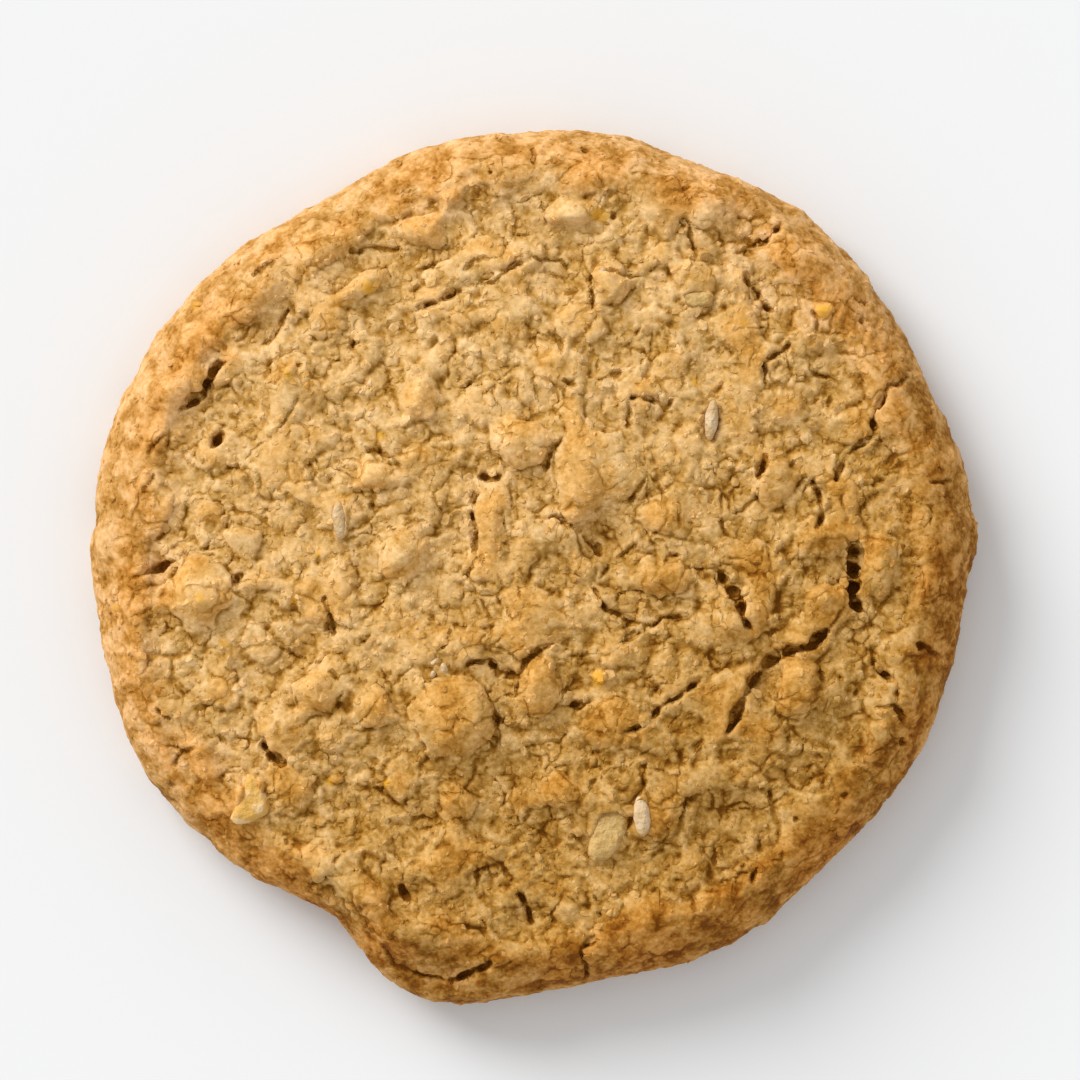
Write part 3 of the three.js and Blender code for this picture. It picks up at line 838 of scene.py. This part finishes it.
def crumb_tree(guides, seats, stains, specks):
    """Raises the crumb: broken crust and fused grains all over, cracks, and hollows under the bits."""
    tree, geometry, out = new_geometry_tree("crumb")
    place = here(tree)
    normal = broad_normal(tree, CRUMB_WAY_ROUNDS)
    upward = height_of(tree, normal)
    on_top = ramp(tree, upward, *CRACKS_UP)
    rim = ramp(tree, from_axis(tree, place), RIM_START, RIM_END)
    plate = stored(tree, "plate")
    whole = product(tree, ramp(tree, plate, 0.0, PLATE_WHOLE), eased(tree, rim, RIM_WHOLE))
    calm = eased(tree, whole, WHOLE_BROKEN)

    inner = ramp(tree, from_axis(tree, place), PLATES_FADE, PLATES_END, 1.0, 0.0)
    moat = groove(tree, place, plate, inner)
    plates = total(tree, product(tree, plate, PLATE_RAISE, inner), product(tree, moat, -MOAT_DEPTH))
    inside = eased(tree, rim, RIM_SEAMS)
    seam = seam_field(tree, place, SEAMS)
    fine_seam = seam_field(tree, place, FINE_SEAMS)
    coarse_cut = product(tree, seam, -SEAMS[2], calm, inside)
    fine_cut = product(tree, fine_seam, -FINE_SEAMS[2], calm, inside)
    settle = -MEAN_BILLOW * BILLOWS[1] - MEAN_BILLOW * BROAD_BILLOWS[1] - MEAN_GRAIN * GRAIN_HEIGHT - SETTLE
    rise = total(tree, crust_rise(tree, place, calm, rim), plates, coarse_cut, fine_cut, settle)

    cuts, fields = [], []
    for guide, (width, depth), element in guides:
        field = crack_field(tree, guide, width, element)
        fields.append(field)
        cuts.append(ramp(tree, field, *CRACK_SIDE, 0.0, depth))
    beside = highest(tree, *fields[:SHOULDER_KINDS])
    shoulder = ramp(tree, beside, -SHOULDER_WIDTH, -SHOULDER_EDGE, 0.0, SHOULDER_RISE)
    from_bit = distance_to(tree, seats, place, "FACES")
    seat = ramp(tree, from_bit, SEAT_EDGE, 0.0, 0.0, SEAT_DEPTH)
    deepest = number(tree, "SUBTRACT", shoulder, highest(tree, *cuts, seat))
    rise = total(tree, rise, product(tree, deepest, on_top))
    rise = product(tree, rise, ramp(tree, upward, *CRUMB_UP))

    stained = highest(
        tree, stain_share(tree, stains, STAIN_RADIUS), stain_share(tree, specks, SPECK_RADIUS),
    )
    notes = {
        "whole": whole,
        "crack": highest(tree, *fields, FAR_FROM_CRACKS),
        "from_bit": from_bit,
        "moat": moat,
        "seam": product(tree, highest(tree, seam, product(tree, fine_seam, FINE_SEAM_SHARE)), inside),
        "mottle": haze(tree, place, *MOTTLE),
        "stain": product(tree, stained, on_top),
    }
    for name, value in notes.items():
        geometry = keep(tree, geometry, name, value)
    geometry = move(tree, geometry, stretched(tree, normal, rise))
    tree.links.new(geometry, out)
    return tree


def crevices_tree():
    """Notes how far each point stands above or lies below the crumb round it."""
    tree, geometry, out = new_geometry_tree("crevices")
    geometry = keep(tree, geometry, "stand", standing(tree, CREVICE_ROUNDS))
    geometry = keep(tree, geometry, "lie", standing(tree, DIP_ROUNDS))
    tree.links.new(geometry, out)
    return tree


def make_dough():
    dough = show("shortbread_dough", frame["nodes"]["shortbread"].data.copy())
    rescale(dough, 1.0 / MM)

    take_up(dough)
    bpy.ops.object.mode_set(mode="EDIT")
    bpy.ops.mesh.select_all(action="SELECT")
    bpy.ops.mesh.remove_doubles(threshold=SAME_POINT)
    bpy.ops.object.mode_set(mode="OBJECT")
    even_skin(dough, VOXEL)
    soften(dough, SMOOTH_ROUNDS)
    apply_tree(dough, fill_tree())
    soften(dough, SETTLE_ROUNDS)

    guides = (
        (draw_lines("gaps", GAPS, GAP_CUT[0]), GAP_CUT, "EDGES"),
        (draw_lines("cracks", CRACKS, CRACK_CUT[0]), CRACK_CUT, "EDGES"),
        (draw_lines("hairlines", HAIRLINES, HAIR_CUT[0]), HAIR_CUT, "EDGES"),
        (draw_points("pits", PITS), PIT_CUT, "POINTS"),
    )
    stains = draw_points("stains", STAINS)
    specks = draw_points("specks", SPECKS)
    seats = draw_seats()
    apply_tree(dough, plates_tree())
    apply_tree(dough, crumb_tree(guides, seats, stains, specks))
    apply_tree(dough, crevices_tree())
    for guide in (seats, stains, specks, *[row[0] for row in guides]):
        bpy.data.objects.remove(guide)

    triangles = sum(len(face.vertices) - 2 for face in dough.data.polygons)
    thin = dough.modifiers.new("thin out", "DECIMATE")
    thin.ratio = min(1.0, DOUGH_TRIANGLES / triangles)
    finish_modifier(dough, thin)
    bpy.ops.object.shade_smooth()
    rescale(dough, MM)
    return dough


# Crumbs on the crust

def scatter_tree(kind, seed):
    """Scatters flat uneven crumbs over the crust, half sunk in it, clear of the cracks."""
    number_each, small, large, flatness, sunk = kind
    tree, geometry, out = new_geometry_tree("crumbs")
    clear = product(
        tree,
        ramp(tree, stored(tree, "crack"), *OFF_CRACKS),
        ramp(tree, stored(tree, "seam"), *OFF_SEAMS),
        ramp(tree, stored(tree, "from_bit"), *OFF_BITS),
    )
    loose_ground = eased(tree, stored(tree, "whole"), WHOLE_CRUMBS)
    upward = ramp(tree, height_of(tree, facing(tree)), *SCATTER_UP)
    spread = put(
        tree, "GeometryNodeDistributePointsOnFaces",
        {"Mesh": geometry, "Density": product(tree, upward, clear, loose_ground, number_each), "Seed": seed},
    )
    crumb = put(tree, "GeometryNodeMeshIcoSphere", {"Radius": 1.0, "Subdivisions": CRUMB_SUBDIVISIONS})

    def drawn(low, high, draw_number):
        """A value between low and high for each crumb."""
        made = tree.nodes.new("FunctionNodeRandomValue")
        made.data_type = "FLOAT_VECTOR" if isinstance(low, tuple) else "FLOAT"
        for socket in made.inputs:
            if socket.enabled and socket.name in ("Min", "Max"):
                socket.default_value = low if socket.name == "Min" else high
        made.inputs["Seed"].default_value = seed + draw_number
        return next(socket for socket in made.outputs if socket.enabled)

    least, most = CRUMB_SIDES
    flattest, tallest = [share * flatness for share in CRUMB_HEIGHTS]
    sides = drawn((least, least, flattest), (most, most, tallest), SIDES_DRAW)
    laid = put(
        tree, "GeometryNodeInstanceOnPoints",
        {
            "Points": move(tree, spread.outputs["Points"], stretched(tree, spread.outputs["Normal"], -sunk)),
            "Instance": crumb.outputs["Mesh"],
            "Rotation": spread.outputs["Rotation"],
            "Scale": stretched(tree, sides, drawn(small, large, RADIUS_DRAW)),
        },
    ).outputs[0]
    turn = drawn((-CRUMB_TILT, -CRUMB_TILT, 0.0), (CRUMB_TILT, CRUMB_TILT, CRUMB_TURN), TURN_DRAW)
    turned = put(tree, "GeometryNodeRotateInstances", {"Instances": laid, "Rotation": turn}).outputs[0]
    toned = keep(tree, turned, "tone", drawn(-1.0, 1.0, TONE_DRAW), domain="INSTANCE")
    loose = put(tree, "GeometryNodeRealizeInstances", {"Geometry": toned}).outputs[0]
    loose = keep(tree, loose, "rest", here(tree), "FLOAT_VECTOR")
    loose = keep(tree, loose, "crack", FAR_FROM_CRACKS)
    loose = keep(tree, loose, "mottle", NOISE_MIDDLE)
    loose = keep(tree, loose, "seam", 0.0)
    shaped = move(tree, loose, shift(tree, here(tree), *CRUMB_UNEVEN))
    faceted = put(tree, "GeometryNodeSetShadeSmooth", {0: shaped, "Shade Smooth": False})
    tree.links.new(faceted.outputs[0], out)
    return tree


def make_crumbs(name, dough, kind, seed):
    crumbs = show(name, dough.data.copy())
    rescale(crumbs, 1.0 / MM)
    apply_tree(crumbs, scatter_tree(kind, seed))
    rescale(crumbs, MM)
    return crumbs


# Materials

def new_material(name, roughness, gloss):
    material = bpy.data.materials.new(name)
    material.use_nodes = True
    shader = material.node_tree.nodes["Principled BSDF"]
    shader.inputs["Roughness"].default_value = roughness
    shader.inputs["Specular IOR Level"].default_value = gloss
    return material, material.node_tree, shader


def blend(tree, share, a, b, way="MIX"):
    made = put(
        tree, "ShaderNodeMix",
        {"Factor": share, MIX_FROM: a, MIX_TO: b},
        data_type="RGBA", blend_type=way,
    )
    return made.outputs[MIX_RESULT]


def bump_up(tree, shader, height):
    bump = put(tree, "ShaderNodeBump", {"Height": height, "Strength": 1.0, "Distance": MM})
    tree.links.new(bump.outputs["Normal"], shader.inputs["Normal"])


def bake_and_shade_colour(tree, level):
    """The dough's colour at a level of baking and painted shade."""
    bake_shade_ramp = put(tree, "ShaderNodeValToRGB", {"Fac": level})
    stops = bake_shade_ramp.color_ramp.elements
    ready = len(stops)
    for step, (position, shade) in enumerate(BAKE_AND_SHADE_COLOURS):
        stop = stops[step] if step < ready else stops.new(position)
        stop.position = position
        stop.color = shade
    return bake_shade_ramp.outputs["Color"]


def crumb_material():
    material, tree, shader = new_material("baked crumb", CRUMB_ROUGHNESS, CRUMB_GLOSS)

    def noted(name, output="Fac"):
        return put(tree, "ShaderNodeAttribute", attribute_name=name).outputs[output]

    place = noted("rest", "Vector")
    whole = noted("whole")
    mottle = noted("mottle")
    speckle = haze(tree, place, *SPECKLE)
    patches = haze(tree, place, *PATCHES)
    grain = grains_at(tree, place)
    calm = eased(tree, whole, WHOLE_GRAIN)
    crack = ramp(tree, jittered(tree, noted("crack"), speckle, CRACK_SPECKLE), *CRACK_RANGE)
    seam = ramp(tree, jittered(tree, noted("seam"), speckle, SEAM_SPECKLE), *SEAM_RANGE)

    # How far a place lies toward the window: painted light on that side, painted shade on the far side
    across = jittered(tree, along(tree, place, SIDE_LIGHT_WAY), mottle, SIDE_SHADE_MOTTLE)
    rim = ramp(tree, jittered(tree, from_axis(tree, place), mottle, BROWN_MOTTLE), BROWN_START, BROWN_END)
    uneven = product(tree, number(tree, "SUBTRACT", NOISE_MIDDLE, mottle), RIM_MOTTLE)
    # The level sums real browning, mottling and tone with painted light and shade
    level = total(
        tree,
        PLAIN_LEVEL,
        ramp(tree, across, SIDE_LIGHT_START, SIDE_SHADE_END, *SIDE_LIGHT_SHADE_LEVELS),
        product(tree, rim, total(tree, RIM_LEVEL, uneven)),
        # Painted light on the rim's side toward the window
        product(tree, rim, ramp(tree, across, LIT_START, LIT_END, RIM_PAINTED_LIGHT, 0.0)),
        product(tree, whole, ramp(tree, mottle, NOISE_LOW, NOISE_HIGH, *PLATE_LEVELS)),
        ramp(tree, patches, NOISE_LOW, NOISE_HIGH, *PATCH_LEVELS),
        product(tree, ramp(tree, patches, *RIM_PATCH_NOISE, *RIM_PATCH_LEVELS), rim),
        ramp(tree, speckle, NOISE_LOW, NOISE_HIGH, *SPECKLE_LEVELS),
        # Painted shade in crevices, dips and hollows between plates, and painted highlight on the crumb's tips
        ramp(tree, noted("stand"), *CREVICE_RANGE, *CREVICE_SHADE_TIP_HIGHLIGHT),
        ramp(tree, noted("lie"), *DIP_RANGE, 0.0, DIP_SHADE),
        ramp(tree, noted("plate"), *HOLLOW_RANGE, 0.0, HOLLOW_SHADE),
        # Painted shade in gaps between grains, in fine and wide cracks, and in the groove round plates
        product(tree, ramp(tree, grain, *GRAIN_GAP, GRAIN_GAP_SHADE, 0.0), calm),
        product(tree, seam, SEAM_SHADE),
        product(tree, noted("moat"), MOAT_SHADE),
        product(tree, crack, CRACK_SHADE),
        ramp(tree, noted("tone"), -1.0, 1.0, TONE_LEVEL, -TONE_LEVEL),
    )
    golden = product(tree, whole, ramp(tree, mottle, *PLATE_GOLDEN))
    colour = blend(tree, golden, bake_and_shade_colour(tree, level), PLATE_TINT, "MULTIPLY")
    colour = blend(tree, rim, colour, RIM_TINT, "MULTIPLY")
    colour = blend(tree, product(tree, noted("stain"), STAIN_SHARE), colour, STAIN_GOLD)
    tree.links.new(colour, shader.inputs["Base Color"])

    height = total(
        tree,
        product(tree, grain, GRAIN_BUMP * GRAIN_HEIGHT, calm),
        product(tree, seam, SEAM_BUMP),
        product(tree, crack, CRACK_BUMP),
        product(tree, speckle, SPECKLE_BUMP),
    )
    bump_up(tree, shader, height)
    return material


def bit_material(name, pale, dark, patch):
    material, tree, shader = new_material(name, BIT_ROUGHNESS, BIT_GLOSS)
    place = stretched(tree, put(tree, "ShaderNodeTexCoord").outputs["Object"], 1.0 / MM)
    share = ramp(tree, haze(tree, place, patch), *PATCH_TURNS)
    tree.links.new(blend(tree, share, dark, pale), shader.inputs["Base Color"])
    size, height = BIT_GRAIN
    bump_up(tree, shader, product(tree, haze(tree, place, size), height))
    return material


# Bits on the top

def surface_height(dough, place):
    """How high the dough's surface lies at a place."""
    above = Vector((place.x, place.y, WELL_ABOVE)) * MM
    found, spot, _, _ = dough.ray_cast(above, Vector((0.0, 0.0, -1.0)))
    return spot.z / MM if found else 0.0


def height_round(dough, outline):
    """The mean height of the dough just outside an outline."""
    ring = resized(outline, ROUND_SHARE)
    return sum(surface_height(dough, place) for place in ring) / len(ring)


def uneven_tree():
    """Makes a smooth bit a little uneven."""
    tree, geometry, out = new_geometry_tree("uneven")
    tree.links.new(move(tree, geometry, shift(tree, here(tree), *BIT_UNEVEN)), out)
    return tree


def finish_bit(bit, name, material):
    bit.name = name
    bit.data.name = name
    apply_tree(bit, uneven_tree())
    bpy.ops.object.shade_smooth()
    rescale(bit, MM)
    cover(bit, material)


def make_grains(dough, name, kinds, material):
    """Grains that lie on their sides, each a ball of 1 mm stretched to its length, width and height."""
    grains = []
    for pixel, length, width, height, turn in kinds:
        ground = height_round(dough, grain_outline(pixel, length, width, turn))
        lift = GRAIN_LIFT * height if length > SEATED_LENGTH else 0.0
        deselect_all()
        bpy.ops.mesh.primitive_ico_sphere_add(subdivisions=GRAIN_SUBDIVISIONS, radius=0.5, location=(0, 0, 0))
        grain = bpy.context.active_object
        grain.scale = (length, width, height)
        grain.rotation_euler = (0, 0, radians(turn))
        grain.location = from_photo(pixel, ground + lift)
        bpy.ops.object.transform_apply(location=True, rotation=True, scale=True)
        grains.append(grain)
    for grain in grains:
        grain.select_set(True)
    bpy.ops.object.join()
    joined = bpy.context.active_object
    finish_bit(joined, name, material)
    return joined


def make_chip(dough, name, outline, sizes, material):
    """A flat chip with this outline, sunk so that its top stands by the lift above the dough round it."""
    thickness, lift = sizes
    places = chip_outline(outline)
    ground = height_round(dough, places)
    deselect_all()
    bpy.ops.mesh.primitive_circle_add(vertices=len(outline), radius=1.0, fill_type="NGON")
    chip = bpy.context.active_object
    for corner, place in zip(chip.data.vertices, places):
        corner.co = (place.x, place.y, ground + lift - thickness)
    bpy.ops.object.mode_set(mode="EDIT")
    bpy.ops.mesh.select_all(action="SELECT")
    for share in (CHIP_SIDE, 1.0 - CHIP_SIDE):
        bpy.ops.mesh.extrude_region_move(TRANSFORM_OT_translate={"value": (0.0, 0.0, share * thickness)})
    bpy.ops.transform.resize(value=(CHIP_TOP, CHIP_TOP, 1.0))
    bpy.ops.mesh.select_all(action="SELECT")
    bpy.ops.mesh.normals_make_consistent(inside=False)
    bpy.ops.object.mode_set(mode="OBJECT")
    even_skin(chip, CHIP_VOXEL)
    soften(chip, CHIP_ROUNDS)
    finish_bit(chip, name, material)
    return chip


# The studio

def make_floor():
    material, _, shader = new_material("pale floor", FLOOR_ROUGHNESS, FLOOR_GLOSS)
    shader.inputs["Base Color"].default_value = FLOOR_PALE
    deselect_all()
    bpy.ops.mesh.primitive_plane_add(size=FLOOR_SIDE, location=(0, 0, -FLOOR_GAP * MM))
    floor = bpy.context.active_object
    floor.name = "floor"
    floor.data.materials.append(material)


def make_light():
    world = bpy.data.worlds.new("studio")
    world.use_nodes = True
    background = world.node_tree.nodes["Background"]
    background.inputs["Color"].default_value = SKY_WHITE
    background.inputs["Strength"].default_value = SKY_STRENGTH
    bpy.context.scene.world = world
    lamp = bpy.data.lights.new("window", "SUN")
    lamp.energy = WINDOW_STRENGTH
    lamp.angle = WINDOW_ANGLE
    window = show("window", lamp)
    window.rotation_euler = Vector(WINDOW_WAY).to_track_quat("Z", "Y").to_euler()


def make_camera():
    lens = bpy.data.cameras.new("overhead")
    lens.sensor_width = SENSOR
    lens.lens = SENSOR * (CAMERA_HEIGHT - OUTLINE_HEIGHT) / (PHOTO_SIDE * PHOTO_MM)
    lens.clip_start = NEAREST_SEEN
    camera = show("overhead", lens)
    camera.location = from_photo((PHOTO_SIDE / 2, PHOTO_SIDE / 2), CAMERA_HEIGHT) * MM
    bpy.context.scene.camera = camera


dough = make_dough()
crumbs = [
    make_crumbs("crust_crumbs", dough, CRUST_CRUMBS, CRUST_SEED),
    make_crumbs("fine_crumbs", dough, FINE_CRUMBS, FINE_SEED),
    make_crumbs("loose_crumbs", dough, LOOSE_CRUMBS, LOOSE_SEED),
]
pale_grain = bit_material("pale grain", GRAIN_CREAM, GRAIN_TAN, GRAIN_PATCH)
pale_flake = bit_material("pale flake", FLAKE_PALE, FLAKE_TAN, FLAKE_PATCH)
nut = bit_material("nut", NUT_CREAM, NUT_GOLD, NUT_PATCH)
bits = [
    make_grains(dough, "pale_grains", PALE_GRAINS, pale_grain),
    make_grains(dough, "tan_grains", TAN_GRAINS, pale_flake),
    make_chip(dough, "oat_flake", OAT_FLAKE, OAT_SIZES, pale_flake),
    make_chip(dough, "small_flake", SMALL_FLAKE, SMALL_SIZES, pale_flake),
    make_chip(dough, "nut_piece", NUT_PIECE, NUT_SIZES, nut),
]
baked = crumb_material()
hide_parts("shortbread")
for piece in (dough, *crumbs):
    cover(piece, baked)
for piece in (dough, *crumbs, *bits):
    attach(piece, "root")

make_floor()
make_light()
make_camera()
bpy.context.scene.view_settings.view_transform = "Standard"
